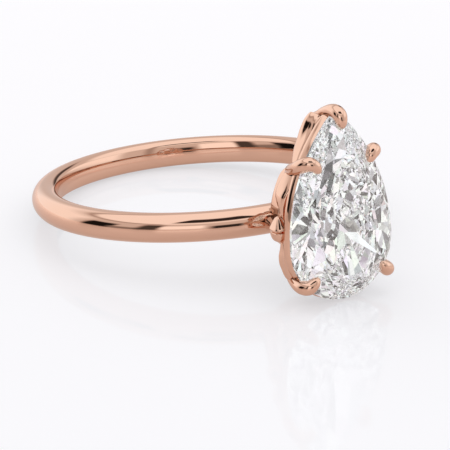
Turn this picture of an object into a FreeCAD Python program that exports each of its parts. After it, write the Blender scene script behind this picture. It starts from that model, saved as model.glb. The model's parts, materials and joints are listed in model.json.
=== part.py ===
import FreeCAD, Part
import math
import os

import Sketcher
from FreeCAD import Placement, Rotation, Vector

# A solitaire engagement ring: a round-wire shank, a petal head soldered on top of it and a
# pear brilliant held by five claws.  The ring is built upright in its own frame and laid down
# at the end:
#   X  from the finger's centre out through the stone
#   Y  across the head
#   Z  along the finger, towards the point of the pear
# Depths are measured from the girdle of the stone back towards the finger.

DIMENSIONS = {
    # shank: a round wire with a flat land on the inside
    "bore_diameter": 16.9,
    "wire_diameter": 1.66,
    "land_width": 1.0,
    # stone: a half-round lobe and two wing arcs, closed by a small round at the point
    "stone_width": 6.6,
    "wing_radius": 9.4,
    "point_radius": 0.6,
    "lobe_drop": 0.53,
    "girdle_height": 13.95,
    "girdle_thickness": 0.15,
    "crown_height": 0.88,
    "crown_angle": 33.0,
    "pavilion_depth": 2.6,
    # seat rail under the girdle
    "rail_inset": 0.04,
    "rail_width": 0.42,
    "rail_lip": 0.05,
    "rail_top_depth": 0.16,
    "rail_seat_depth": 0.53,
    "rail_bottom_depth": 0.66,
    # base ring that straddles the shank
    "base_lobe_radius": 1.6,
    "base_wing_radius": 5.0,
    "base_point_radius": 1.0,
    "base_drop": 0.25,
    "base_wall": 0.8,
    "base_bottom": 9.35,
    "base_top": 10.35,
    # claws
    "claw_wire_diameter": 0.74,
    "claw_outset": 0.1,
    "claw_bend_radius": 2.4,
    "claw_bend_depth": 0.15,
    "bead_diameter": 0.82,
    "bead_inset": 0.04,
    "bead_rise": 0.38,
    "foot_height": 10.0,
    # petals
    "petal_thickness": 0.52,
    "petal_top_depth": 0.6,
    "petal_inset": 0.2,
    "end_petal_inset": 0.3,
    # side leaves that carry the petals down to the shank
    "leaf_wire_diameter": 0.7,
    "leaf_length": 1.6,
    "leaf_depth": 1.25,
    "leaf_thickness": 0.8,
    "leaf_height": 12.35,
    "leaf_side": 2.8,
    "leaf_lift": 0.35,
    "leaf_foot_height": 9.75,
    "leaf_foot_side": 1.75,
}

doc = FreeCAD.newDocument("engagement_ring")
sheet = doc.addObject("Spreadsheet::Sheet", "Dimensions")
for row, (alias, value) in enumerate(DIMENSIONS.items(), start=1):
    sheet.set(f"A{row}", alias)
    sheet.set(f"B{row}", str(value))
    sheet.setAlias(f"B{row}", alias)
doc.recompute()


def dim(alias):
    """A driving dimension as the sheet holds it."""
    return float(sheet.get(alias))


def bind(item, path, expression):
    """Tie a property or a named constraint to cells of the sheet."""
    for alias in sorted(DIMENSIONS, key=len, reverse=True):
        expression = expression.replace(f"[{alias}]", f"Dimensions.{alias}")
    item.setExpression(path, expression)


# ---------------------------------------------------------------- outline of the pear


class Pear:
    """A pear outline: a half-round lobe, two wing arcs and a small round at the point."""

    def __init__(self, lobe_radius, wing_radius, point_radius, drop):
        self.lobe = lobe_radius
        self.wing = wing_radius
        self.point = point_radius
        self.drop = drop
        self.wing_offset = wing_radius - lobe_radius
        self.point_centre = math.sqrt((wing_radius - point_radius) ** 2 - self.wing_offset**2)
        self.wing_angle = math.atan2(self.point_centre, self.wing_offset)

    def at(self, station, side=1):
        """Point and outward normal (y, z): -1 lobe end, 0 widest, 1 end of the wing, 2 point."""
        if station < 0:
            angle = station * math.pi / 2
            centre_y, centre_z, radius = 0.0, 0.0, self.lobe
        elif station <= 1:
            angle = station * self.wing_angle
            centre_y, centre_z, radius = -self.wing_offset, 0.0, self.wing
        else:
            angle = self.wing_angle + (station - 1) * (math.pi / 2 - self.wing_angle)
            centre_y, centre_z, radius = 0.0, self.point_centre, self.point
        normal = (side * math.cos(angle), math.sin(angle))
        y = side * (centre_y + radius * math.cos(angle))
        z = centre_z + radius * math.sin(angle) - self.drop
        return (y, z), normal

    def inset_by(self, inset):
        return Pear(self.lobe - inset, self.wing - inset, self.point - inset, self.drop)


GIRDLE = Pear(dim("stone_width") / 2, dim("wing_radius"), dim("point_radius"), dim("lobe_drop"))
BASE = Pear(
    dim("base_lobe_radius"), dim("base_wing_radius"), dim("base_point_radius"), dim("base_drop")
)
GIRDLE_HEIGHT = dim("girdle_height")


def off_girdle(station, side, depth, outset):
    """Point at a depth below the girdle plane, moved outwards from the girdle's outline."""
    (y, z), (normal_y, normal_z) = GIRDLE.at(station, side)
    return Vector(GIRDLE_HEIGHT - depth, y + normal_y * outset, z + normal_z * outset)


# ---------------------------------------------------------------- sketching helpers


def plane_of(body, role):
    return next(item for item in body.Origin.OriginFeatures if item.Role == role)


def new_body(name):
    return doc.addObject("PartDesign::Body", name)


def sketch_on(body, name, role, offset=None):
    sketch = body.newObject("Sketcher::SketchObject", name)
    sketch.AttachmentSupport = [(plane_of(body, role), "")]
    sketch.MapMode = "FlatFace"
    if offset is not None:
        sketch.AttachmentOffset = offset
    return sketch


def named(sketch, name, constraint, expression=None):
    """Add a constraint under a name and bind it to the sheet where it has an expression."""
    index = sketch.addConstraint(constraint)
    sketch.renameConstraint(index, name)
    if expression:
        bind(sketch, f"Constraints.{name}", expression)


def pear_sketch(body, name, pear, height, radii, drop, height_expression):
    """A pear outline across X at a height. radii are the expressions of its three radii."""
    sketch = sketch_on(body, name, "YZ_Plane", Placement(Vector(0, 0, height), Rotation()))
    bind(sketch, "AttachmentOffset.Base.z", height_expression)
    axis = Vector(0, 0, 1)
    turn = pear.wing_angle
    lobe = Part.Circle(Vector(0, -pear.drop, 0), axis, pear.lobe)
    right = Part.Circle(Vector(-pear.wing_offset, -pear.drop, 0), axis, pear.wing)
    point = Part.Circle(Vector(0, pear.point_centre - pear.drop, 0), axis, pear.point)
    left = Part.Circle(Vector(pear.wing_offset, -pear.drop, 0), axis, pear.wing)
    arcs = [
        Part.ArcOfCircle(lobe, math.pi, 2 * math.pi),
        Part.ArcOfCircle(right, 0, turn),
        Part.ArcOfCircle(point, turn, math.pi - turn),
        Part.ArcOfCircle(left, math.pi - turn, math.pi),
    ]
    sketch.addGeometry(arcs, False)
    for first, second in ((0, 1), (1, 2), (2, 3), (3, 0)):
        sketch.addConstraint(Sketcher.Constraint("Tangent", first, 2, second, 1))
    sketch.addConstraint(Sketcher.Constraint("PointOnObject", 0, 3, -2))
    sketch.addConstraint(Sketcher.Constraint("PointOnObject", 2, 3, -2))
    sketch.addConstraint(Sketcher.Constraint("Horizontal", 0, 3, 1, 3))
    named(sketch, "drop", Sketcher.Constraint("DistanceY", 0, 3, -1, 1, pear.drop), drop)
    lobe_radius, wing_radius, point_radius = radii
    named(sketch, "lobe", Sketcher.Constraint("Radius", 0, pear.lobe), lobe_radius)
    named(sketch, "right_wing", Sketcher.Constraint("Radius", 1, pear.wing), wing_radius)
    named(sketch, "point", Sketcher.Constraint("Radius", 2, pear.point), point_radius)
    named(sketch, "left_wing", Sketcher.Constraint("Radius", 3, pear.wing), wing_radius)
    return sketch


def pad(body, name, sketch, length):
    feature = body.newObject("PartDesign::Pad", name)
    feature.Profile = sketch
    bind(feature, "Length", length)
    return feature


def pocket_through(body, name, sketch):
    feature = body.newObject("PartDesign::Pocket", name)
    feature.Profile = sketch
    feature.Type = "ThroughAll"
    feature.Midplane = True
    return feature


def wire_profile(body, name):
    """The shank's section: a round wire with a flat chord towards the finger."""
    sketch = sketch_on(body, name, "XZ_Plane")
    bore, radius, land = dim("bore_diameter") / 2, dim("wire_diameter") / 2, dim("land_width")
    centre = bore + math.sqrt(radius**2 - (land / 2) ** 2)
    half_turn = math.pi - math.asin(land / 2 / radius)
    circle = Part.Circle(Vector(centre, 0, 0), Vector(0, 0, 1), radius)
    sketch.addGeometry(Part.ArcOfCircle(circle, -half_turn, half_turn), False)
    sketch.addGeometry(Part.LineSegment(Vector(bore, land / 2, 0), Vector(bore, -land / 2, 0)), False)
    sketch.addConstraint(Sketcher.Constraint("Coincident", 0, 2, 1, 1))
    sketch.addConstraint(Sketcher.Constraint("Coincident", 1, 2, 0, 1))
    sketch.addConstraint(Sketcher.Constraint("Vertical", 1))
    sketch.addConstraint(Sketcher.Constraint("PointOnObject", 0, 3, -1))
    named(sketch, "wire", Sketcher.Constraint("Radius", 0, radius), "[wire_diameter] / 2")
    named(sketch, "bore", Sketcher.Constraint("DistanceX", -1, 1, 1, 1, bore), "[bore_diameter] / 2")
    named(sketch, "land", Sketcher.Constraint("DistanceY", 1, 2, 1, 1, land), "[land_width]")
    return sketch


# ---------------------------------------------------------------- shank, rail and base ring


def make_shank():
    body = new_body("shank_blank")
    turn = body.newObject("PartDesign::Revolution", "shank_turn")
    profile = wire_profile(body, "shank_profile")
    turn.Profile = profile
    turn.ReferenceAxis = (profile, ["V_Axis"])
    turn.Angle = 360
    body.Tip = turn
    return body


def make_seat_rail():
    """A pear ring whose upper inner edge is bevelled into a seat for the pavilion."""
    body = new_body("rail_blank")
    rail = GIRDLE.inset_by(dim("rail_inset"))

    def rail_sketch(name, inset_alias, depth_alias):
        outline = rail.inset_by(dim(inset_alias)) if inset_alias else rail
        minus = f" - [rail_inset] - [{inset_alias}]" if inset_alias else " - [rail_inset]"
        radii = [radius + minus for radius in ("[stone_width] / 2", "[wing_radius]", "[point_radius]")]
        level = GIRDLE_HEIGHT - dim(depth_alias)
        height = f"[girdle_height] - [{depth_alias}]"
        return pear_sketch(body, name, outline, level, radii, "[lobe_drop]", height)

    outer = rail_sketch("rail_outer", None, "rail_bottom_depth")
    pad(body, "rail_pad", outer, "[rail_bottom_depth] - [rail_top_depth]")
    inner = rail_sketch("rail_inner", "rail_width", "rail_bottom_depth")
    pocket_through(body, "rail_opening", inner)
    doc.recompute()
    seat = body.newObject("PartDesign::SubtractiveLoft", "rail_seat")
    seat.Profile = rail_sketch("seat_mouth", "rail_lip", "rail_top_depth")
    seat.Sections = [rail_sketch("seat_foot", "rail_width", "rail_seat_depth")]
    seat.Ruled = True
    body.Tip = seat
    return body


def make_base_ring():
    """A pear ring under the head, grooved so that it straddles the shank."""
    body = new_body("base_blank")
    radii = ["[base_lobe_radius]", "[base_wing_radius]", "[base_point_radius]"]
    inner_radii = [radius + " - [base_wall]" for radius in radii]
    level = dim("base_bottom")
    outer = pear_sketch(body, "base_outer", BASE, level, radii, "[base_drop]", "[base_bottom]")
    pad(body, "base_pad", outer, "[base_top] - [base_bottom]")
    opening = BASE.inset_by(dim("base_wall"))
    inner = pear_sketch(
        body, "base_inner", opening, level, inner_radii, "[base_drop]", "[base_bottom]"
    )
    pocket_through(body, "base_opening", inner)
    doc.recompute()
    saddle = body.newObject("PartDesign::Groove", "base_saddle")
    profile = wire_profile(body, "base_saddle_profile")
    saddle.Profile = profile
    saddle.ReferenceAxis = (profile, ["V_Axis"])
    saddle.Angle = 360
    body.Tip = saddle
    return body


# ---------------------------------------------------------------- claws

CLAWS = {
    # name: (station on the girdle, side, station of its foot on the base ring)
    "claw_point": (2.0, 1, 2.0),
    "claw_shoulder_right": (0.63, 1, 0.62),
    "claw_shoulder_left": (0.63, -1, 0.62),
    "claw_lobe_right": (-0.4, 1, -0.45),
    "claw_lobe_left": (-0.4, -1, -0.45),
}


def arc_between(centre, radius, start, end):
    """The short arc of a circle, anticlockwise from one point to the other."""
    first = math.atan2(start.y - centre.y, start.x - centre.x)
    last = math.atan2(end.y - centre.y, end.x - centre.x)
    return Part.ArcOfCircle(Part.Circle(centre, Vector(0, 0, 1), radius), first, last)


def make_claw(name, station, side, foot_station):
    """A wire leg that leans out from the base ring, bends upright and ends in a bead."""
    (head_y, head_z), _ = GIRDLE.at(station, side)
    middle = BASE.inset_by(dim("base_wall") / 2)
    (foot_y, foot_z), _ = middle.at(foot_station, side)
    run = Vector(0, head_y - foot_y, head_z - foot_z)
    outward = run / run.Length

    # in the claw's own plane: x outwards from the girdle's edge, y up from the girdle
    foot = Vector(-run.Length, dim("foot_height") - GIRDLE_HEIGHT, 0)
    upright = Vector(dim("claw_outset"), -dim("claw_bend_depth"), 0)
    bend_radius = dim("claw_bend_radius")
    bend_centre = upright - Vector(bend_radius, 0, 0)
    to_centre = bend_centre - foot
    lean = math.atan2(to_centre.x, to_centre.y) + math.asin(bend_radius / to_centre.Length)
    knee = bend_centre + Vector(math.cos(lean), -math.sin(lean), 0) * bend_radius
    bead = Vector(-dim("bead_inset"), dim("bead_rise"), 0)
    rise = bead - upright
    hook_radius = -rise.dot(rise) / (2 * rise.x)
    hook_centre = upright - Vector(hook_radius, 0, 0)

    body = new_body(name + "_blank")
    path = sketch_on(body, name + "_path", "XZ_Plane")
    path.addGeometry(Part.LineSegment(foot, knee), False)
    path.addGeometry(arc_between(bend_centre, bend_radius, knee, upright), False)
    path.addGeometry(arc_between(hook_centre, hook_radius, upright, bead), False)

    at_foot = Placement(Vector(foot.x, 0, foot.y), Rotation(Vector(0, 1, 0), math.degrees(lean)))
    section = sketch_on(body, name + "_section", "XY_Plane", at_foot)
    wire = dim("claw_wire_diameter") / 2
    section.addGeometry(Part.Circle(Vector(), Vector(0, 0, 1), wire), False)
    section.addConstraint(Sketcher.Constraint("Coincident", 0, 3, -1, 1))
    named(section, "wire", Sketcher.Constraint("Radius", 0, wire), "[claw_wire_diameter] / 2")

    pipe = body.newObject("PartDesign::AdditivePipe", name + "_wire")
    pipe.Profile = section
    pipe.Spine = (path, ["Edge1", "Edge2", "Edge3"])
    ball = body.newObject("PartDesign::AdditiveSphere", name + "_bead")
    ball.AttachmentSupport = [(plane_of(body, "XY_Plane"), "")]
    ball.MapMode = "FlatFace"
    bind(ball, "Radius", "[bead_diameter] / 2")
    bind(ball, "AttachmentOffset.Base.x", "-[bead_inset]")
    bind(ball, "AttachmentOffset.Base.z", "[bead_rise]")
    body.Tip = ball

    # the claw's own X is its outward direction and its own Z points away from the finger
    across = Vector(1, 0, 0).cross(outward)
    turn = Rotation(outward, across, Vector(1, 0, 0), "XZY")
    body.Placement = Placement(Vector(GIRDLE_HEIGHT, head_y, head_z), turn)
    return body


# ---------------------------------------------------------------- side leaves


def make_leaf(name, side):
    """A leg on each side of the head, ending in a leaf where two petals meet."""
    body = new_body(name + "_blank")
    foot = Vector(dim("leaf_foot_height"), side * dim("leaf_foot_side"), 0)
    rise = Vector(dim("leaf_height"), side * dim("leaf_side"), dim("leaf_lift")) - foot
    length = rise.Length

    stem = body.newObject("PartDesign::AdditiveCylinder", name + "_stem")
    stem.AttachmentSupport = [(plane_of(body, "XY_Plane"), "")]
    stem.MapMode = "FlatFace"
    bind(stem, "Radius", "[leaf_wire_diameter] / 2")
    stem.Height = length
    blade = body.newObject("PartDesign::AdditiveEllipsoid", name + "_blade")
    blade.AttachmentSupport = [(plane_of(body, "XY_Plane"), "")]
    blade.MapMode = "FlatFace"
    blade.AttachmentOffset = Placement(Vector(0, 0, length), Rotation())
    bind(blade, "Radius1", "[leaf_depth] / 2")
    bind(blade, "Radius2", "[leaf_thickness] / 2")
    bind(blade, "Radius3", "[leaf_length] / 2")
    body.Tip = blade
    # the leaf's own Z runs up the stem and its own Y along the finger
    up = rise / length
    turn = Rotation(Vector(0, 0, 1).cross(up) * -1, Vector(0, 0, 1), up, "ZYX")
    body.Placement = Placement(foot, turn)
    return body


# ---------------------------------------------------------------- petals

# each petal: its stations along the girdle and half its depth at each
PETALS = {
    "petal_point": ((1.5, 0.97, 0.87, 0.76, 0.69, 0.63), (0.3, 0.42, 0.64, 0.68, 0.55, 0.42)),
    "petal_shoulder": ((0.63, 0.54, 0.43, 0.32, 0.2), (0.42, 0.52, 0.68, 0.66, 0.35)),
    "petal_lobe": ((0.02, -0.08, -0.2, -0.3, -0.4), (0.35, 0.5, 0.58, 0.55, 0.45)),
}
END_PETAL = ((-0.4, -0.6, -0.8, -1.0), (0.45, 0.56, 0.6, 0.62))


def petal_section(station, side, half_depth, inset):
    """An upright ellipse across the petal at one station of the girdle."""
    depth = dim("petal_top_depth") + half_depth
    centre = off_girdle(station, side, depth, -inset)
    _, (normal_y, normal_z) = GIRDLE.at(station, side)
    outward = Vector(0, normal_y, normal_z)
    along = Vector(1, 0, 0).cross(outward)
    ellipse = Part.Ellipse(Vector(), half_depth, dim("petal_thickness") / 2)
    wire = Part.Wire(ellipse.toShape())
    turn = Rotation(Vector(1, 0, 0), outward, along, "XYZ")
    wire.Placement = Placement(centre, turn)
    return wire


def make_petal(name, sections):
    petal = doc.addObject("Part::Feature", name + "_blank")
    petal.Shape = Part.makeLoft(sections, True, False)
    return petal


def make_petals():
    petals = {}
    for name, (stations, half_depths) in PETALS.items():
        for hand, side in (("right", 1), ("left", -1)):
            label = f"{name}_{hand}"
            sections = [
                petal_section(station, side, half, dim("petal_inset"))
                for station, half in zip(stations, half_depths)
            ]
            petals[label] = make_petal(label, sections)
    steps = list(zip(*END_PETAL))
    inset = dim("end_petal_inset")
    right = [petal_section(station, 1, half, inset) for station, half in steps]
    left = [petal_section(station, -1, half, inset) for station, half in reversed(steps[:-1])]
    petals["petal_end"] = make_petal("petal_end", right + left)
    return petals


# ---------------------------------------------------------------- stone

MAIN_STATIONS = (0.62, 0.06, -0.5)
HALF_STATIONS = (1.25, 0.85, 0.45, 0.22, -0.1, -0.35, -0.66, -0.88)
HALF_STEEPER = 7.0
STAR_ANGLE = 20.0
LOWER_HALF_STEEPER = 1.6
CULET_Z = 0.2
BLOCK = 30.0


def cut_beyond(stone, point, normal):
    """Grind a flat facet: take away what lies beyond a plane."""
    waste = Part.makeBox(BLOCK, BLOCK, BLOCK, Vector(-BLOCK / 2, -BLOCK / 2, 0))
    waste.Placement = Placement(point, Rotation(Vector(0, 0, 1), normal))
    return stone.cut(waste)


def facet_stations():
    """The main facets, as (point, normal) on the girdle, in order round the stone."""
    point = GIRDLE.at(2)
    end = GIRDLE.at(-1)
    right = [GIRDLE.at(station, 1) for station in MAIN_STATIONS]
    left = [GIRDLE.at(station, -1) for station in reversed(MAIN_STATIONS)]
    return [point, *right, end, *left]


def girdle_facet(stone, station, level, slope, upwards):
    """Grind a facet that touches the girdle's edge at one station."""
    (y, z), (normal_y, normal_z) = station
    rise = math.cos(slope) * upwards
    normal = Vector(rise, math.sin(slope) * normal_y, math.sin(slope) * normal_z)
    return cut_beyond(stone, Vector(level, y, z), normal)


def make_stone():
    half_girdle = dim("girdle_thickness") / 2
    top, bottom = GIRDLE_HEIGHT + half_girdle, GIRDLE_HEIGHT - half_girdle
    table = top + dim("crown_height")
    culet = bottom - dim("pavilion_depth")
    crown = math.radians(dim("crown_angle"))

    def on_girdle(station, side=1):
        (y, z), _ = GIRDLE.at(station, side)
        return Vector(culet, y, z)

    edges = [
        Part.Arc(on_girdle(0, -1), on_girdle(-1), on_girdle(0)).toShape(),
        Part.Arc(on_girdle(0), on_girdle(0.5), on_girdle(1)).toShape(),
        Part.Arc(on_girdle(1), on_girdle(2), on_girdle(1, -1)).toShape(),
        Part.Arc(on_girdle(1, -1), on_girdle(0.5, -1), on_girdle(0, -1)).toShape(),
    ]
    stone = Part.Face(Part.Wire(edges)).extrude(Vector(table - culet, 0, 0))

    mains = facet_stations()
    halves = [GIRDLE.at(station, side) for station in HALF_STATIONS for side in (1, -1)]
    corners = []
    for (y, z), (normal_y, normal_z) in mains:
        inset = dim("crown_height") / math.tan(crown)
        corners.append(Vector(table, y - normal_y * inset, z - normal_z * inset))

    for main in mains:
        stone = girdle_facet(stone, main, top, crown, 1)
    for half in halves:
        stone = girdle_facet(stone, half, top, crown + math.radians(HALF_STEEPER), 1)
    for first, second in zip(corners, corners[1:] + corners[:1]):
        side = second.sub(first)
        outward = side.cross(Vector(1, 0, 0))
        outward.normalize()
        if outward.dot(first.sub(Vector(table, 0, CULET_Z))) < 0:
            outward = outward * -1
        slope = math.radians(STAR_ANGLE)
        normal = Vector(1, 0, 0) * math.cos(slope) + outward * math.sin(slope)
        stone = cut_beyond(stone, first, normal)

    for station, steeper in [(main, 0.0) for main in mains] + [(half, 1.0) for half in halves]:
        (y, z), (normal_y, normal_z) = station
        run = normal_y * y + normal_z * (z - CULET_Z)
        slope = math.atan2(dim("pavilion_depth"), run) + math.radians(steeper * LOWER_HALF_STEEPER)
        stone = girdle_facet(stone, station, bottom, slope, -1)

    feature = doc.addObject("Part::Feature", "stone_blank")
    feature.Shape = stone.Solids[0]
    return feature


# ---------------------------------------------------------------- fitting the pieces together


def fitted(label, blank, *neighbours):
    """A piece cut back to its neighbours, so that every solder or seat face is shared."""
    piece = blank
    for index, neighbour in enumerate(neighbours, start=1):
        cut = doc.addObject("Part::Cut", f"{label}_fit_{index}")
        cut.Base = piece
        cut.Tool = neighbour
        piece = cut
    piece.Label = label
    return piece


def lowest(shape, tilt):
    """The lowest Z of a shape once the ring is tipped back about Y."""
    tipped = shape.copy()
    tipped.Placement = Placement(Vector(), Rotation(Vector(0, 1, 0), -tilt)).multiply(shape.Placement)
    return tipped.optimalBoundingBox(False, False).ZMin


def resting_tilt(head, shank):
    """The tilt in degrees at which head and shank both touch one flat surface."""
    low, high = 0.0, 20.0
    while high - low > 1e-4:
        middle = (low + high) / 2
        if lowest(head, middle) < lowest(shank, middle):
            low = middle
        else:
            high = middle
    return (low + high) / 2


shank = make_shank()
rail = make_seat_rail()
base = make_base_ring()
claws = {name: make_claw(name, *place) for name, place in CLAWS.items()}
leaves = {name: make_leaf(name, side) for name, side in (("leaf_right", 1), ("leaf_left", -1))}
petals = make_petals()
stone = make_stone()
blanks = [shank, rail, base, stone, *claws.values(), *leaves.values(), *petals.values()]
doc.recompute()

# lay the ring down on its side, with its resting box centred over the origin
head_shape = Part.makeCompound([blank.Shape for blank in blanks if blank is not shank])
tilt = resting_tilt(head_shape, shank.Shape)
tip_back = Placement(Vector(), Rotation(Vector(0, 1, 0), -tilt))
whole = Part.makeCompound([blank.Shape for blank in blanks])
whole.Placement = tip_back
box = whole.optimalBoundingBox(False, False)
lay_down = Placement(Vector(-box.Center.x, -box.Center.y, -box.ZMin), Rotation())
for blank in blanks:
    blank.Placement = lay_down.multiply(tip_back).multiply(blank.Placement)

pieces = [
    fitted("pear_stone", stone),
    fitted("shank", shank),
    fitted("base_ring", base),
    fitted("seat_rail", rail),
]
for name, claw in claws.items():
    pieces.append(fitted(name, claw, stone, rail, base))
for name, leaf in leaves.items():
    pieces.append(fitted(name, leaf, shank, base))
for name, petal in petals.items():
    hand = name.rsplit("_", 1)[1]
    close = [claw for label, claw in claws.items() if hand in label or name == "petal_end"]
    close += [claws["claw_point"]] if name.startswith("petal_point") else []
    close += [leaf for label, leaf in leaves.items() if hand in label]
    pieces.append(fitted(name, petal, rail, *close))
doc.recompute()

for item in doc.Objects:
    if "Invalid" in item.State or "Error" in item.State:
        raise RuntimeError(f"{item.Label} failed: {item.State}")
for piece in pieces:
    if piece.Shape.isNull() or not piece.Shape.isValid():
        raise RuntimeError(f"{piece.Label} has no valid shape")
    if len(piece.Shape.Solids) != 1:
        raise RuntimeError(f"{piece.Label} has {len(piece.Shape.Solids)} solids")

os.makedirs("parts", exist_ok=True)
for piece in pieces:
    piece.Shape.exportStep(f"parts/{piece.Label}.step")

centre = lay_down.multiply(tip_back).multVec(Vector())
print(f"tilt {tilt:.3f} deg, ring centre {centre.x:.4f} {centre.y:.4f} {centre.z:.4f}")
for piece in pieces:
    print(f"{piece.Label}: {piece.Shape.Volume:.3f} mm3")
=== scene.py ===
import json
import math
import random

import bmesh
import bpy
from mathutils import Matrix, Vector

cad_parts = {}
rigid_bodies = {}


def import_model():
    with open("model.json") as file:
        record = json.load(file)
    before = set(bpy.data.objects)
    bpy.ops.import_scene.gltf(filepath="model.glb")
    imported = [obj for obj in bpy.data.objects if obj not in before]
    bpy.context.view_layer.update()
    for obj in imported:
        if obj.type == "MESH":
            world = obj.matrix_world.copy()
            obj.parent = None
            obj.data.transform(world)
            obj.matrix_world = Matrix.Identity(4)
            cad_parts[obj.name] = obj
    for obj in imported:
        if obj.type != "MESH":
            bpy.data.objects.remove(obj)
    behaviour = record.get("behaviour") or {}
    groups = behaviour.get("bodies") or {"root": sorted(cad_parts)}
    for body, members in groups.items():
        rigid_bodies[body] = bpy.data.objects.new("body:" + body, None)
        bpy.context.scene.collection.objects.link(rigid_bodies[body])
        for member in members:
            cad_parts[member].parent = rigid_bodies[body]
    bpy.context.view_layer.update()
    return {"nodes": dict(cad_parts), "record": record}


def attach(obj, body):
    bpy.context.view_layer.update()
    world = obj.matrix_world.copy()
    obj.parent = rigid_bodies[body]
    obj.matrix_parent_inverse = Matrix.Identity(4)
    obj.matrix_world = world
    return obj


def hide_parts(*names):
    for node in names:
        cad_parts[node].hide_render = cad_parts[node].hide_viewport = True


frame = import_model()

# The ring's own axes in the row frame: OUT from the finger to the stone, ACROSS the head, and
# ALONG the finger, towards the pear's point.
finger = frame["record"]["mounts"][0]
RING_CENTRE = Vector(finger["pos_m"])
ALONG = Vector(finger["axis"]).normalized()
ACROSS = Vector((0, 1, 0))
OUT = ACROSS.cross(ALONG)
MM = 0.001


def ring_point(out, across, along):
    """A point given in the ring's own axes, in millimetres."""
    return RING_CENTRE + (OUT * out + ACROSS * across + ALONG * along) * MM


def add_object(name, data):
    thing = bpy.data.objects.new(name, data)
    bpy.context.scene.collection.objects.link(thing)
    return thing


# ---------------------------------------------------------------- camera

CAMERA_AZIMUTH = math.radians(56.6)
CAMERA_ELEVATION = math.radians(21.57)
CAMERA_ROLL = math.radians(0.45)
CAMERA_DISTANCE = 0.14895
CAMERA_LENS = 203.8
AIM_RIGHT, AIM_UP = 0.001342, -0.002292
SENSOR_WIDTH = 36
NEAR_CLIP = 0.001


def make_camera():
    data = bpy.data.cameras.new("camera")
    data.lens = CAMERA_LENS
    data.sensor_width = SENSOR_WIDTH
    data.clip_start = NEAR_CLIP
    camera = add_object("camera", data)
    back = Vector((
        math.sin(CAMERA_AZIMUTH) * math.cos(CAMERA_ELEVATION),
        -math.cos(CAMERA_AZIMUTH) * math.cos(CAMERA_ELEVATION),
        math.sin(CAMERA_ELEVATION),
    ))
    right = Vector((0, 0, 1)).cross(back).normalized()
    right = Matrix.Rotation(CAMERA_ROLL, 3, back) @ right
    up = back.cross(right)
    aim = RING_CENTRE + right * AIM_RIGHT + up * AIM_UP
    turn = Matrix((right, up, back)).transposed().to_4x4()
    camera.matrix_world = Matrix.Translation(aim + back * CAMERA_DISTANCE) @ turn
    bpy.context.scene.camera = camera


# ---------------------------------------------------------------- node helpers


class Nodes:
    """A short way to write a node tree: a socket or a number goes in, a socket comes out."""

    def __init__(self, tree):
        self.tree = tree
        tree.nodes.clear()

    def add(self, kind, **settings):
        node = self.tree.nodes.new(kind)
        for name, value in settings.items():
            setattr(node, name, value)
        return node

    def put(self, socket, value):
        if isinstance(value, bpy.types.NodeSocket):
            self.tree.links.new(value, socket)
        else:
            socket.default_value = value

    def put_all(self, sockets, values):
        for socket, value in zip(sockets, values):
            self.put(socket, value)

    def math(self, operation, *values):
        node = self.add("ShaderNodeMath", operation=operation)
        self.put_all(node.inputs, values)
        return node.outputs[0]

    def ramp(self, value, low, high, at_low=0.0, at_high=1.0):
        """A smooth step: at_low up to the low value, at_high from the high value on."""
        node = self.add("ShaderNodeMapRange", interpolation_type="SMOOTHSTEP")
        self.put_all(node.inputs, (value, low, high, at_low, at_high))
        return node.outputs[0]

    def mix(self, factor, first, second):
        node = self.add("ShaderNodeMix", data_type="FLOAT")
        self.put_all([node.inputs[index] for index in (0, 2, 3)], (factor, first, second))
        return node.outputs[0]

    def mix_colour(self, factor, first, second):
        node = self.add("ShaderNodeMix", data_type="RGBA")
        self.put_all([node.inputs[index] for index in (0, 6, 7)], (factor, first, second))
        return node.outputs[2]

    def mix_shader(self, factor, first, second):
        node = self.add("ShaderNodeMixShader")
        self.put_all(node.inputs, (factor, first, second))
        return node.outputs[0]

    def noise(self, coordinate, scale, detail=2.0, output="Fac"):
        node = self.add("ShaderNodeTexNoise")
        self.put(node.inputs["Vector"], coordinate)
        node.inputs["Scale"].default_value = scale
        node.inputs["Detail"].default_value = detail
        return node.outputs[output]

    def background(self, colour, strength=1.0):
        node = self.add("ShaderNodeBackground")
        self.put(node.inputs["Color"], colour)
        self.put(node.inputs["Strength"], strength)
        return node.outputs[0]


def new_material(name):
    material = bpy.data.materials.new(name)
    material.use_nodes = True
    return material, Nodes(material.node_tree)


# ---------------------------------------------------------------- studio

# Soft boxes and cards round the ring, in degrees but for the last number:
# azimuth, elevation, half width, half height, softness of the edge, brightness.
CARDS = (
    (-45, 41, 66, 2, 3, 0.35),
    (100, 30, 4, 30, 4, 0.40),
    (-72, 10, 32, 26, 9, 1.05),
    (-19, 13, 12, 14, 3, 0.01),
    (3, 6, 13, 7, 4, 0.25),
    (19, 18, 8, 17, 4, 0.07),
    (42, 17, 15, 11, 3, 1.12),
    (73, 8, 11, 11, 4, 0.03),
    (160, 22, 32, 15, 8, 1.07),
    (-138, 13, 5, 16, 3, 0.08),
    (65, 62, 40, 12, 4, 0.03),
)
CEILING = 1.03
WALL = 0.66
# elevations between which the wall turns into the ceiling, in degrees
COVE = (36, 46)
# shades below this brightness are fully warm, and above it turn white
WARM_BELOW, WHITE_ABOVE = 0.3, 1.0
LAMP_WHITE = (1.0, 0.995, 1.0, 1)
WARM_SHADE = (1.0, 0.86, 0.80, 1)
BACKDROP = (0.985, 0.982, 0.99, 1)
WHITE = (1.0, 1.0, 1.0, 1)
# Light Path counts a first reflection as depth 2, which stays as it is; at depth 4 little is left.
CLEAR_DEPTH, DIM_DEPTH, DIM_SHARE = 2.0, 4.0, 0.12
# the stone's livelier studio: a noise that is low in gaps, middling on walls and high on lamps
LAMP_SCALE, LAMP_DETAIL = 2.4, 2.5
GAP_TO_WALL, STONE_WALL = (0.415, 0.455), 0.62
WALL_TO_LAMP, STONE_LAMP = (0.47, 0.56), 1.42
FIRE_SCALE, FIRE_SHARE = 9.0, 0.4


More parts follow.
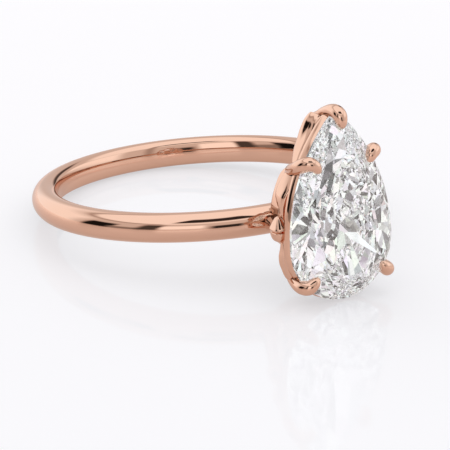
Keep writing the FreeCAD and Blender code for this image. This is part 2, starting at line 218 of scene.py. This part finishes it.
def make_world():
    """A white studio with soft boxes and dark cards, a livelier one for the stone, a backdrop."""
    world = bpy.data.worlds.new("studio")
    world.use_nodes = True
    nodes = Nodes(world.node_tree)
    direction = nodes.add("ShaderNodeTexCoord").outputs["Generated"]
    parts = nodes.add("ShaderNodeSeparateXYZ")
    nodes.put(parts.inputs[0], direction)
    east, north, high = parts.outputs
    azimuth = nodes.math("ARCTAN2", east, nodes.math("MULTIPLY", north, -1.0))
    elevation = nodes.math("ARCSINE", high)
    light = nodes.ramp(elevation, math.radians(COVE[0]), math.radians(COVE[1]), WALL, CEILING)
    for *angles, brightness in CARDS:
        centre, lift, half_width, half_height, soft = (math.radians(angle) for angle in angles)
        aside = nodes.math("SUBTRACT", azimuth, centre)
        aside = nodes.math("ABSOLUTE", nodes.math("WRAP", aside, math.pi, -math.pi))
        above = nodes.math("ABSOLUTE", nodes.math("SUBTRACT", elevation, lift))
        wide = nodes.ramp(aside, half_width - soft, half_width + soft, 1.0, 0.0)
        tall = nodes.ramp(above, half_height - soft, half_height + soft, 1.0, 0.0)
        light = nodes.mix(nodes.math("MULTIPLY", wide, tall), light, brightness)
    shade = nodes.mix_colour(nodes.ramp(light, WARM_BELOW, WHITE_ABOVE), WARM_SHADE, LAMP_WHITE)
    # light that reaches the eye over several mirrors is dimmed, which keeps deep corners brown
    paths = nodes.add("ShaderNodeLightPath").outputs
    fade = nodes.ramp(paths["Ray Depth"], CLEAR_DEPTH, DIM_DEPTH, 1.0, DIM_SHARE)
    studio = nodes.background(shade, nodes.math("MULTIPLY", light, fade))

    # what leaves the stone sees many small lamps, with walls and dark gaps between them
    lamps = nodes.noise(direction, LAMP_SCALE, LAMP_DETAIL)
    sparkle = nodes.ramp(lamps, *GAP_TO_WALL, 0.0, STONE_WALL)
    sparkle = nodes.mix(nodes.ramp(lamps, *WALL_TO_LAMP), sparkle, STONE_LAMP)
    fire = nodes.noise(direction, FIRE_SCALE, output="Color")
    lively = nodes.background(nodes.mix_colour(FIRE_SHARE, WHITE, fire), sparkle)

    around = nodes.mix_shader(paths["Is Transmission Ray"], studio, lively)
    seen = nodes.mix_shader(paths["Is Camera Ray"], around, nodes.background(BACKDROP))
    nodes.put(nodes.add("ShaderNodeOutputWorld").inputs[0], seen)
    bpy.context.scene.world = world


FLOOR_SIZE = 8.0
FLOOR_COLOUR = (0.455, 0.465, 0.485, 1)
FLOOR_ROUGHNESS = 0.03
FLOOR_IOR = 1.3
# the floor's own glow as the camera sees it, and as it is reflected in the ring
FLOOR_GLOW, FLOOR_GLOW_COLOUR = 0.58, (0.98, 0.975, 1.0, 1)
RING_GLOW, RING_GLOW_COLOUR = 0.44, (1.0, 0.8, 0.72, 1)


def make_floor():
    material, nodes = new_material("floor")
    shader = nodes.add("ShaderNodeBsdfPrincipled")
    shader.inputs["Base Color"].default_value = FLOOR_COLOUR
    shader.inputs["Roughness"].default_value = FLOOR_ROUGHNESS
    shader.inputs["IOR"].default_value = FLOOR_IOR
    seen = nodes.add("ShaderNodeLightPath").outputs["Is Camera Ray"]
    glow = nodes.mix_colour(seen, RING_GLOW_COLOUR, FLOOR_GLOW_COLOUR)
    nodes.put(shader.inputs["Emission Color"], glow)
    nodes.put(shader.inputs["Emission Strength"], nodes.mix(seen, RING_GLOW, FLOOR_GLOW))
    nodes.put(nodes.add("ShaderNodeOutputMaterial").inputs[0], shader.outputs[0])
    mesh = bpy.data.meshes.new("floor")
    half = FLOOR_SIZE / 2
    corners = [(-half, -half, 0), (half, -half, 0), (half, half, 0), (-half, half, 0)]
    mesh.from_pydata(corners, [], [(0, 1, 2, 3)])
    mesh.materials.append(material)
    floor = add_object("floor", mesh)


# ---------------------------------------------------------------- materials

GOLD_WARM, GOLD_PALE = (0.885, 0.57, 0.43, 1), (0.92, 0.61, 0.465, 1)
# noise scales, in cycles per metre: drift of the tone, wear of the polish, polishing marks
GOLD_DRIFT_SCALE, GOLD_WEAR_SCALE, GOLD_MARK_SCALE = 260.0, 2400.0, 5000.0
GOLD_ROUGHNESS = (0.025, 0.07)
WEAR_RANGE = (0.35, 0.75)
MARK_STRENGTH, MARK_DEPTH = 0.02, 0.00001
DIAMOND_CLEAR, DIAMOND_COOL = (1.0, 1.0, 1.0, 1), (0.965, 0.975, 1.0, 1)
DIAMOND_DRIFT_SCALE = 400.0
DIAMOND_IOR = 2.42


def make_gold():
    """Rose gold with a mirror polish: faint drift of tone, slight wear and fine polishing marks."""
    material, nodes = new_material("rose_gold")
    place = nodes.add("ShaderNodeTexCoord").outputs["Object"]
    shader = nodes.add("ShaderNodeBsdfPrincipled")
    shader.inputs["Metallic"].default_value = 1.0
    drift = nodes.noise(place, GOLD_DRIFT_SCALE)
    nodes.put(shader.inputs["Base Color"], nodes.mix_colour(drift, GOLD_WARM, GOLD_PALE))
    wear = nodes.noise(place, GOLD_WEAR_SCALE, 4.0)
    nodes.put(shader.inputs["Roughness"], nodes.ramp(wear, *WEAR_RANGE, *GOLD_ROUGHNESS))
    bump = nodes.add("ShaderNodeBump")
    bump.inputs["Strength"].default_value = MARK_STRENGTH
    bump.inputs["Distance"].default_value = MARK_DEPTH
    nodes.put(bump.inputs["Height"], nodes.noise(place, GOLD_MARK_SCALE, 3.0))
    nodes.put(shader.inputs["Normal"], bump.outputs[0])
    nodes.put(nodes.add("ShaderNodeOutputMaterial").inputs[0], shader.outputs[0])
    return material


def make_diamond():
    """Colourless diamond with a barely cool drift of tone."""
    material, nodes = new_material("diamond")
    place = nodes.add("ShaderNodeTexCoord").outputs["Object"]
    shader = nodes.add("ShaderNodeBsdfPrincipled")
    drift = nodes.noise(place, DIAMOND_DRIFT_SCALE)
    nodes.put(shader.inputs["Base Color"], nodes.mix_colour(drift, DIAMOND_CLEAR, DIAMOND_COOL))
    shader.inputs["Roughness"].default_value = 0.0
    shader.inputs["IOR"].default_value = DIAMOND_IOR
    shader.inputs["Transmission Weight"].default_value = 1.0
    nodes.put(nodes.add("ShaderNodeOutputMaterial").inputs[0], shader.outputs[0])
    return material


# ---------------------------------------------------------------- the pear outline

# millimetres, here and below
STONE_WIDTH = 6.6
WING_RADIUS = 9.4
POINT_RADIUS = 0.6
# how far the widest place lies from the ring's middle plane, towards the lobe
LOBE_DROP = 0.53
# from the finger's centre to the middle of the girdle
GIRDLE_HEIGHT = 13.95


class Pear:
    """A half-round lobe, two wing arcs and a small round at the point."""

    def __init__(self, lobe, wing, point, drop):
        self.lobe, self.wing, self.point, self.drop = lobe, wing, point, drop
        self.wing_offset = wing - lobe
        self.point_centre = math.sqrt((wing - point) ** 2 - self.wing_offset**2)
        self.wing_angle = math.atan2(self.point_centre, self.wing_offset)

    def at(self, station, side=1):
        """Place and outward normal. Stations: -1 lobe end, 0 widest, 1 end of the wing, 2 point."""
        if station < 0:
            angle = station * math.pi / 2
            across, along, radius = 0.0, 0.0, self.lobe
        elif station <= 1:
            angle = station * self.wing_angle
            across, along, radius = -self.wing_offset, 0.0, self.wing
        else:
            angle = self.wing_angle + (station - 1) * (math.pi / 2 - self.wing_angle)
            across, along, radius = 0.0, self.point_centre, self.point
        normal = (side * math.cos(angle), math.sin(angle))
        y = side * (across + radius * math.cos(angle))
        z = along + radius * math.sin(angle) - self.drop
        return (y, z), normal


GIRDLE = Pear(STONE_WIDTH / 2, WING_RADIUS, POINT_RADIUS, LOBE_DROP)
BASE = Pear(lobe=1.6, wing=5.0, point=1.0, drop=0.25)


def on_wall(pear, station, side, height, outset):
    """A point beside a pear outline: its height above the finger's centre and its outset."""
    (y, z), (normal_y, normal_z) = pear.at(station, side)
    return Vector((height, y + normal_y * outset, z + normal_z * outset))


# ---------------------------------------------------------------- mesh helpers


def smooth_through(keys, steps):
    """Catmull-Rom samples through tuples of numbers."""
    samples = []
    last = len(keys) - 1
    for index in range(last * steps + 1):
        at = index / steps
        start = min(int(at), last - 1)
        t = at - start
        four = [keys[min(max(start + shift, 0), last)] for shift in (-1, 0, 1, 2)]
        samples.append(tuple(
            0.5 * (
                2 * b
                + (c - a) * t
                + (2 * a - 5 * b + 4 * c - d) * t**2
                + (3 * b - a - 3 * c + d) * t**3
            )
            for a, b, c, d in zip(*four)
        ))
    return samples


def squared(value, power):
    """A sine or cosine bent so that a circle turns into a softly squared outline."""
    return math.copysign(abs(value) ** power, value)


def turns(count):
    return [2 * math.pi * step / count for step in range(count)]


def circle(centre, u, v, radius, sides):
    return [centre + (u * math.cos(turn) + v * math.sin(turn)) * radius for turn in turns(sides)]


def add_mesh(name, points, faces):
    """A smooth-shaded object from points in the ring's own axes."""
    mesh = bpy.data.meshes.new(name)
    mesh.from_pydata([ring_point(*point) for point in points], [], faces)
    work = bmesh.new()
    work.from_mesh(mesh)
    bmesh.ops.recalc_face_normals(work, faces=work.faces)
    work.to_mesh(mesh)
    work.free()
    for face in mesh.polygons:
        face.use_smooth = True
    return add_object(name, mesh)


def loft(name, rings, closed=False):
    """Skin a row of equal rings of points, closed on itself or capped at both ends."""
    size = len(rings[0])
    points = [point for ring in rings for point in ring]
    faces = []
    for index in range(len(rings) if closed else len(rings) - 1):
        here, there = index * size, (index + 1) % len(rings) * size
        for step in range(size):
            after = (step + 1) % size
            faces.append((here + step, here + after, there + after, there + step))
    if not closed:
        faces.append(tuple(reversed(range(size))))
        faces.append(tuple(range(len(points) - size, len(points))))
    return add_mesh(name, points, faces)


def finish_piece(piece, material, slot, *nodes):
    """Give a piece its material, join it to the root body and hide the CAD nodes that it stands in
    for; the slot is not used.
    """
    piece.data.materials.append(material)
    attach(piece, "root")
    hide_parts(*nodes)
    return piece


CORNER_STEPS = 4


def rounded(corners, radius):
    """A polygon of (u, v) corners with each corner rounded."""
    outline = []
    count = len(corners)
    for index, corner in enumerate(corners):
        here = Vector(corner)
        before = (Vector(corners[index - 1]) - here).normalized() * radius
        after = (Vector(corners[(index + 1) % count]) - here).normalized() * radius
        for step in range(CORNER_STEPS + 1):
            t = step / CORNER_STEPS
            outline.append(here + before * (1 - t) ** 2 + after * t**2)
    return outline


# ---------------------------------------------------------------- shank

BORE_RADIUS = 8.45
WIRE_RADIUS = 0.83
WIRE_CENTRE = 9.1125
INSIDE_DOME = 1.7
SHANK_STEPS = 288
# the section's points: from the wire's outermost place to each of its ends, and along half the dome
WIRE_STEPS, DOME_STEPS = 24, 8
# shares of the wire's and the dome's arcs that are used, which leaves a small round where they meet
WIRE_SHARE, DOME_SHARE = 0.985, 0.96


def make_shank():
    """Round wire whose inside is a shallow comfort dome that touches the bore."""
    dome_centre = BORE_RADIUS + INSIDE_DOME
    gap = dome_centre - WIRE_CENTRE
    meet = (gap**2 + INSIDE_DOME**2 - WIRE_RADIUS**2) / (2 * gap)
    edge = math.sqrt(INSIDE_DOME**2 - meet**2)
    dome_turn = math.asin(edge / INSIDE_DOME)
    wire_turn = math.pi - math.atan2(edge, WIRE_CENTRE - (dome_centre - meet))
    section = []
    for step in range(2 * WIRE_STEPS + 1):
        angle = wire_turn * (step / WIRE_STEPS - 1) * WIRE_SHARE
        section.append((WIRE_CENTRE + WIRE_RADIUS * math.cos(angle), WIRE_RADIUS * math.sin(angle)))
    for step in range(2 * DOME_STEPS + 1):
        angle = dome_turn * (1 - step / DOME_STEPS) * DOME_SHARE
        section.append((dome_centre - INSIDE_DOME * math.cos(angle), INSIDE_DOME * math.sin(angle)))
    rings = [
        [(r * math.cos(turn), r * math.sin(turn), z) for r, z in section]
        for turn in turns(SHANK_STEPS)
    ]
    finish_piece(loft("shank_polished", rings, closed=True), gold, "rose_gold", "shank")


# ---------------------------------------------------------------- rail and base ring

LOOP_STATIONS = 30
RAIL_ROUND, BASE_ROUND = 0.018, 0.14
# corners of the two sections: outset from the pear outline, height from the finger's centre
RAIL_TOP, RAIL_BOTTOM = GIRDLE_HEIGHT - 0.18, GIRDLE_HEIGHT - 0.64
RAIL_CORNERS = (
    (-0.06, RAIL_TOP), (0.01, RAIL_TOP - 0.14), (0.05, RAIL_TOP - 0.3), (0.04, RAIL_BOTTOM),
    (-0.44, RAIL_BOTTOM), (-0.44, RAIL_BOTTOM + 0.04), (-0.10, RAIL_TOP),
)
BASE_CORNERS = ((0, 10.33), (0, 9.4), (-0.8, 9.4), (-0.8, 10.33))


def stations_round(count):
    """Stations and sides once round a pear: count on half the lobe, twice that on a wing."""
    one_way = [-1 + step / count for step in range(count)]
    one_way += [step / (2 * count) for step in range(2 * count)]
    one_way += [1 + step / (count // 3) for step in range(count // 3)]
    right = [(station, 1) for station in one_way]
    left = [(station, -1) for station in reversed(one_way[1:])]
    return right + [(2.0, 1)] + left


def make_loop(name, node, pear, corners, corner_round):
    """Carry a rounded section round a pear."""
    section = rounded(corners, corner_round)
    rings = [
        [on_wall(pear, station, side, height, outset) for outset, height in section]
        for station, side in stations_round(LOOP_STATIONS)
    ]
    finish_piece(loft(name, rings, closed=True), gold, "rose_gold", node)


# ---------------------------------------------------------------- stone

# from the middle of the girdle: up to the table, down to the ground culet, and down to the
# place under it where the pavilion's main planes meet
TABLE_RISE = 0.955
CULET_DEPTH = 2.675
VIRTUAL_DEPTH = 3.05
TABLE_HEIGHT, CULET_HEIGHT = GIRDLE_HEIGHT + TABLE_RISE, GIRDLE_HEIGHT - CULET_DEPTH
# half the thickness of the girdle, and the culet's place along the finger
GIRDLE_HALF = 0.075
CULET_ALONG = 0.2
OUTLINE_STATIONS = 16
# stations of the facets; those on the middle plane have one facet, the others one on each side
MIDDLE_STATIONS = (2.0, -1.0)
MAIN_STATIONS = (2.0, 0.62, 0.06, -0.5, -1.0)
HALF_STATIONS = (1.25, 0.85, 0.45, 0.22, -0.1, -0.35, -0.66, -0.88)
QUARTER_STATIONS = (1.5, 0.74, 0.34, 0.0, -0.42, -0.77)
INNER_STATIONS = (1.7, 1.05, 0.72, 0.5, 0.3, 0.12, -0.16, -0.34, -0.58, -0.82)
# slopes of the crown's facets in degrees, and how far in the stars start, in widths of the crown
MAIN_SLOPE, HALF_SLOPE, STAR_SLOPE = 33, 40, 21
STAR_INSET = 1.12
# how much steeper than the mains the pavilion's halves and quarters are, in degrees
HALF_STEEPER, QUARTER_STEEPER = 2.2, 5.5
# drawn at random for each inner facet: degrees flatter than a main, share of the way to the culet
FACET_SEED = 12
INNER_FLATTER, INNER_INWARDS = (0.8, 3.5), (0.35, 0.6)
# drawn at random for each culet facet: degrees flatter than a main, lift, shift along the finger
CULET_FLATTER, CULET_LIFT, CULET_SHIFT_ALONG = (3, 14), (0, 0.12), (0.2, 1.0)
CULET_SHIFT_ACROSS = 0.3
# of a cut, and for joining the corners that facets share
PLANE_TOLERANCE, MERGE_DISTANCE = 1e-6, 1e-5
# how much larger than the stone the notches in the claws are, and the point it grows from
CUTTER_GROWTH = 1.008
CUTTER_CENTRE = (GIRDLE_HEIGHT, 0, 1)


def facet_places(stations):
    return [
        GIRDLE.at(station, side)
        for station in stations
        for side in ((1,) if station in MIDDLE_STATIONS else (1, -1))
    ]


def facet_normal(place, slope, upwards):
    """The normal of a facet that slopes away from the table, or from the culet for -1."""
    _, (normal_y, normal_z) = place
    steep = math.sin(slope)
    return Vector((math.cos(slope) * upwards, steep * normal_y, steep * normal_z))


def pavilion_slope(place):
    """The slope of a plane from the girdle to where the mains meet."""
    (y, z), (normal_y, normal_z) = place
    return math.atan2(VIRTUAL_DEPTH, normal_y * y + normal_z * (z - CULET_ALONG))


def grind(work, point, normal):
    """Take away what lies beyond a plane and close the face it leaves."""
    cut = bmesh.ops.bisect_plane(
        work,
        geom=work.verts[:] + work.edges[:] + work.faces[:],
        dist=PLANE_TOLERANCE,
        plane_co=point,
        plane_no=normal,
        clear_outer=True,
    )
    edges = [item for item in cut["geom_cut"] if isinstance(item, bmesh.types.BMEdge)]
    if edges:
        bmesh.ops.contextual_create(work, geom=edges)


def grind_at_girdle(work, place, slope, upwards):
    (y, z), _ = place
    foot = Vector((GIRDLE_HEIGHT + GIRDLE_HALF * upwards, y, z))
    grind(work, foot, facet_normal(place, slope, upwards))


def stone_block():
    """A block with the stone's outline that reaches from the table to the culet."""
    outline = [GIRDLE.at(station, side)[0] for station, side in stations_round(OUTLINE_STATIONS)]
    work = bmesh.new()
    upper = [work.verts.new((TABLE_HEIGHT, y, z)) for y, z in outline]
    lower = [work.verts.new((CULET_HEIGHT, y, z)) for y, z in outline]
    work.faces.new(upper)
    work.faces.new(list(reversed(lower)))
    count = len(outline)
    for step in range(count):
        after = (step + 1) % count
        work.faces.new((upper[after], upper[step], lower[step], lower[after]))
    return work


def cut_crown(work, mains, halves):
    for places, slope in ((mains, MAIN_SLOPE), (halves, HALF_SLOPE)):
        for place in places:
            grind_at_girdle(work, place, math.radians(slope), 1)
    inset = (TABLE_RISE - GIRDLE_HALF) / math.tan(math.radians(MAIN_SLOPE)) * STAR_INSET
    # the first pair of halves meets at the point, where there is no room for stars
    for place in halves[2:]:
        (y, z), (normal_y, normal_z) = place
        foot = Vector((TABLE_HEIGHT, y - normal_y * inset, z - normal_z * inset))
        grind(work, foot, facet_normal(place, math.radians(STAR_SLOPE), 1))


def cut_pavilion(work, mains, halves, quarters):
    for places, steeper in ((mains, 0), (halves, HALF_STEEPER), (quarters, QUARTER_STEEPER)):
        for place in places:
            grind_at_girdle(work, place, pavilion_slope(place) + math.radians(steeper), -1)
    chance = random.Random(FACET_SEED)
    for place in facet_places(INNER_STATIONS):
        (y, z), _ = place
        slope = pavilion_slope(place) - math.radians(chance.uniform(*INNER_FLATTER))
        inwards = chance.uniform(*INNER_INWARDS)
        foot = Vector((
            GIRDLE_HEIGHT - VIRTUAL_DEPTH * inwards,
            y * (1 - inwards),
            z + (CULET_ALONG - z) * inwards,
        ))
        grind(work, foot, facet_normal(place, slope, -1))
    for place in mains + halves + quarters:
        _, (normal_y, normal_z) = place
        slope = pavilion_slope(place) - math.radians(chance.uniform(*CULET_FLATTER))
        lift = chance.uniform(*CULET_LIFT)
        along = normal_z * chance.uniform(*CULET_SHIFT_ALONG)
        shift = Vector((lift, normal_y * CULET_SHIFT_ACROSS, along))
        foot = Vector((CULET_HEIGHT, 0, CULET_ALONG)) + shift
        grind(work, foot, facet_normal(place, slope, -1))


def make_stone():
    """A pear brilliant: the CAD stone's outline and heights, with its full set of facets."""
    work = stone_block()
    mains, halves, quarters = (
        facet_places(stations) for stations in (MAIN_STATIONS, HALF_STATIONS, QUARTER_STATIONS)
    )
    cut_crown(work, mains, halves)
    cut_pavilion(work, mains, halves, quarters)
    bmesh.ops.remove_doubles(work, verts=work.verts, dist=MERGE_DISTANCE)
    for vert in work.verts:
        vert.co = ring_point(*vert.co)
    bmesh.ops.recalc_face_normals(work, faces=work.faces)
    mesh = bpy.data.meshes.new("pear_diamond")
    work.to_mesh(mesh)
    work.free()
    return finish_piece(add_object("pear_diamond", mesh), diamond, "diamond", "pear_stone")


def make_cutter(stone):
    """The stone grown by a hair, to notch the claws with."""
    cutter = add_object("cutter", stone.data.copy())
    centre = ring_point(*CUTTER_CENTRE)
    grow = Matrix.Translation(centre) @ Matrix.Scale(CUTTER_GROWTH, 4) @ Matrix.Translation(-centre)
    cutter.data.transform(grow)
    return cutter


# ---------------------------------------------------------------- claws

# station on the girdle, side, station of the foot on the base ring, drift along the girdle
CLAWS = {
    "claw_point": (2.0, -1, 2.0, 0.0),
    "claw_shoulder_right": (0.60, 1, 0.62, 0.04),
    "claw_shoulder_left": (0.60, -1, 0.62, 0.04),
    "claw_lobe_right": (-0.41, 1, -0.45, -0.02),
    "claw_lobe_left": (-0.41, -1, -0.45, -0.02),
}
CLAW_FOOT_HEIGHT, CLAW_FOOT_OUTSET, CLAW_FOOT_RADIUS = 10.0, -0.4, 0.37
# from the basket up and over the stone: share of the drift, outset, height over the girdle, radius
CLAW_KEYS = (
    (-1.0, -0.95, -2.20, 0.34),
    (-0.9, -0.24, -1.25, 0.33),
    (-0.4, 0.08, -0.50, 0.36),
    (0.3, 0.16, 0.05, 0.40),
    (1.0, 0.04, 0.46, 0.40),
    (1.0, -0.24, 0.62, 0.35),
    (0.6, -0.50, 0.68, 0.25),
    (0.4, -0.68, 0.69, 0.10),
)
CLAW_SIDES, CLAW_STEPS = 20, 8


def make_claw(cutter, name, station, side, foot_station, drift):
    """A claw that rises from the base ring, folds over the girdle and is notched for the stone."""
    foot = on_wall(BASE, foot_station, side, CLAW_FOOT_HEIGHT, CLAW_FOOT_OUTSET)
    keys = [(*foot, CLAW_FOOT_RADIUS)]
    for share, outset, rise, radius in CLAW_KEYS:
        here = on_wall(GIRDLE, station + share * drift, side, GIRDLE_HEIGHT + rise, outset)
        keys.append((*here, radius))
    samples = smooth_through(keys, CLAW_STEPS)
    spine = [Vector(sample[:3]) for sample in samples]
    _, (normal_y, normal_z) = GIRDLE.at(station, side)
    sideways = Vector((0, -normal_z, normal_y))
    rings = []
    for index, (centre, sample) in enumerate(zip(spine, samples)):
        run = spine[min(index + 1, len(spine) - 1)] - spine[max(index - 1, 0)]
        v = run.cross(sideways).normalized()
        u = v.cross(run).normalized()
        rings.append(circle(centre, u, v, sample[3], CLAW_SIDES))
    claw = loft(name + "_polished", rings)
    notch = claw.modifiers.new("notch", "BOOLEAN")
    notch.object = cutter
    notch.solver = "EXACT"
    bpy.context.view_layer.update()
    notched = claw.evaluated_get(bpy.context.evaluated_depsgraph_get())
    mesh = bpy.data.meshes.new_from_object(notched)
    claw.modifiers.clear()
    claw.data = mesh
    finish_piece(claw, gold, "rose_gold", name)


# ---------------------------------------------------------------- petals

# along each petal: station, depths of its top and bottom edge under the girdle, outset, flare
PETALS = {
    "petal_point": (
        (1.4, 0.62, 1.05, -0.30, 0.3), (1.14, 0.60, 1.24, -0.06, 0.34),
        (1.02, 0.60, 1.40, 0.04, 0.36), (0.95, 0.60, 1.55, 0.0, 0.36),
        (0.88, 0.60, 1.66, -0.12, 0.3), (0.80, 0.60, 1.72, -0.13, 0.12),
        (0.72, 0.60, 1.62, -0.11, 0.08), (0.62, 0.62, 1.30, -0.1, 0.08),
    ),
    "petal_shoulder": (
        (0.60, 0.62, 1.26, -0.24, 0.32), (0.53, 0.60, 1.50, -0.16, 0.22),
        (0.44, 0.62, 1.70, -0.02, 0.12), (0.37, 0.74, 1.70, 0.08, 0.06),
        (0.31, 0.86, 1.46, 0.04, 0.06), (0.26, 0.94, 1.22, -0.08, 0.1),
        (0.2, 0.96, 1.20, -0.18, 0.2), (0.09, 0.96, 1.2, -0.24, 0.2),
    ),
    "petal_lobe": (
        (0.03, 0.98, 1.30, -0.24, 0.1), (-0.04, 0.80, 1.46, -0.18, 0.0),
        (-0.12, 0.64, 1.58, -0.09, 0.0), (-0.2, 0.60, 1.56, 0.01, 0.0),
        (-0.25, 0.60, 1.44, 0.07, 0.0), (-0.31, 0.60, 1.30, 0.10, 0.1),
        (-0.35, 0.60, 1.20, 0.08, 0.2), (-0.41, 0.62, 1.16, 0.0, 0.2),
    ),
}
END_PETAL = (
    (-0.41, 0.62, 1.38, -0.1, 0.3), (-0.55, 0.60, 1.50, -0.11, 0.16),
    (-0.75, 0.60, 1.60, -0.12, 0.05), (-1.0, 0.60, 1.62, -0.12, 0.05),
)
# how round each petal's section is: 1 is an ellipse and less is squarer
ROUNDNESS = {"petal_point": 0.85, "petal_shoulder": 0.5, "petal_lobe": 0.75, "petal_end": 0.7}
# how deep the crease runs along the face of each petal
CREASE = {"petal_point": 0.035, "petal_shoulder": 0.012, "petal_lobe": 0.07, "petal_end": 0.05}
CREASE_WIDTH = 0.3
PETAL_THICKNESS = 0.34
PETAL_BULGE = 0.07
# the depth at which outsets are given, and half the depth of a petal with full bulge and crease
PETAL_TOP, FULL_HALF = 0.6, 0.5
PETAL_SIDES, PETAL_STEPS, END_PETAL_STEPS = 48, 10, 12


def petal_ring(name, place, side):
    """A softly squared section standing in the wall of the basket and leaning outwards."""
    station, top, bottom, outset_at_top, flare = place
    half = (bottom - top) / 2
    fullness = min(1, half / FULL_HALF)
    ring = []
    for turn in turns(PETAL_SIDES):
        wide = squared(math.cos(turn), ROUNDNESS[name])
        tall = squared(math.sin(turn), ROUNDNESS[name])
        bulge = PETAL_BULGE * (1 - tall**2) * fullness
        if wide > 0:
            bulge -= CREASE[name] * math.exp(-((tall / CREASE_WIDTH) ** 2)) * fullness
        depth = (top + bottom) / 2 - tall * half
        outset = (wide - 1) * PETAL_THICKNESS / 2 + bulge
        outset += outset_at_top + flare * (depth - PETAL_TOP)
        ring.append(on_wall(GIRDLE, station, side, GIRDLE_HEIGHT - depth, outset))
    return ring


def make_petals():
    for name, keys in PETALS.items():
        steps = smooth_through(keys, PETAL_STEPS)
        for hand, side in (("right", 1), ("left", -1)):
            rings = [petal_ring(name, place, side) for place in steps]
            node = f"{name}_{hand}"
            finish_piece(loft(node + "_polished", rings), gold, "rose_gold", node)
    # the end petal runs round the lobe, so its second half mirrors the first
    steps = smooth_through(END_PETAL, END_PETAL_STEPS)
    rings = [petal_ring("petal_end", place, 1) for place in steps]
    rings += [petal_ring("petal_end", place, -1) for place in reversed(steps[:-1])]
    finish_piece(loft("petal_end_polished", rings), gold, "rose_gold", "petal_end")


# ---------------------------------------------------------------- side buds

# height, place across and place along the finger
BUD_CENTRE = (12.85, 3.26, 0.46)
STEM_FOOT = (9.8, 1.8, 0.0)
BUD_HALF_DEPTH, BUD_HALF_THICKNESS = 0.48, 0.38
BUD_ROUNDNESS = 0.62
# along the bud: place from its centre, share of the full width
BUD_PROFILE = (
    (-0.66, 0.30), (-0.60, 0.62), (-0.46, 0.86), (-0.22, 1.02), (-0.12, 1.02),
    (-0.07, 0.84), (-0.02, 0.82), (0.02, 1.10), (0.07, 1.16), (0.26, 0.94),
    (0.48, 0.66), (0.66, 0.40), (0.74, 0.14),
)
BUD_SIDES, BUD_STEPS = 32, 4
# up the stem: share of the way, radius
STEM_KEYS = ((0, 0.42), (0.15, 0.36), (0.5, 0.33), (0.85, 0.36), (1.0, 0.3))
STEM_SIDES = 20


def make_leaf(name, side):
    """A bud in two halves with a groove between them, on a stem that rises from the shank."""
    height, across, along = BUD_CENTRE
    rings = []
    for place, share in smooth_through(BUD_PROFILE, BUD_STEPS):
        ring = []
        for turn in turns(BUD_SIDES):
            out = squared(math.cos(turn), BUD_ROUNDNESS) * BUD_HALF_DEPTH * share
            aside = squared(math.sin(turn), BUD_ROUNDNESS) * BUD_HALF_THICKNESS * share
            ring.append(Vector((height + out, side * (across + aside), along + place)))
        rings.append(ring)
    bud = loft(name + "_bud", rings)
    foot, top = (Vector((out, side * aside, up)) for out, aside, up in (STEM_FOOT, BUD_CENTRE))
    run = (top - foot).normalized()
    u = run.cross(Vector((0, 0, 1))).normalized()
    v = run.cross(u)
    rings = [circle(foot.lerp(top, share), u, v, radius, STEM_SIDES) for share, radius in STEM_KEYS]
    stem = loft(name + "_stem", rings)
    finish_piece(stem, gold, "rose_gold", name)
    finish_piece(bud, gold, "rose_gold", name)


# ---------------------------------------------------------------- build

# enough for the stone, where light is thrown about many times
LIGHT_BOUNCES = 32

make_camera()
make_world()
make_floor()
gold = make_gold()
diamond = make_diamond()
# the CAD nodes, which the pieces below stand in for
for node in frame["nodes"].values():
    node.data.materials.clear()
    node.data.materials.append(gold)
stone = make_stone()
make_shank()
make_loop("rail_polished", "seat_rail", GIRDLE, RAIL_CORNERS, RAIL_ROUND)
make_loop("base_polished", "base_ring", BASE, BASE_CORNERS, BASE_ROUND)
cutter = make_cutter(stone)
for name, place in CLAWS.items():
    make_claw(cutter, name, *place)
bpy.data.objects.remove(cutter)
make_petals()
for name, side in (("leaf_right", 1), ("leaf_left", -1)):
    make_leaf(name, side)

scene = bpy.context.scene
# light that has passed through the stone meets nothing but the stone and the studio
for thing in scene.objects:
    if thing.type == "MESH" and thing is not stone:
        thing.visible_transmission = False

scene.view_settings.view_transform = "Standard"
scene.cycles.max_bounces = LIGHT_BOUNCES
scene.cycles.glossy_bounces = LIGHT_BOUNCES
scene.cycles.transmission_bounces = LIGHT_BOUNCES
scene.cycles.caustics_reflective = False
scene.cycles.caustics_refractive = False
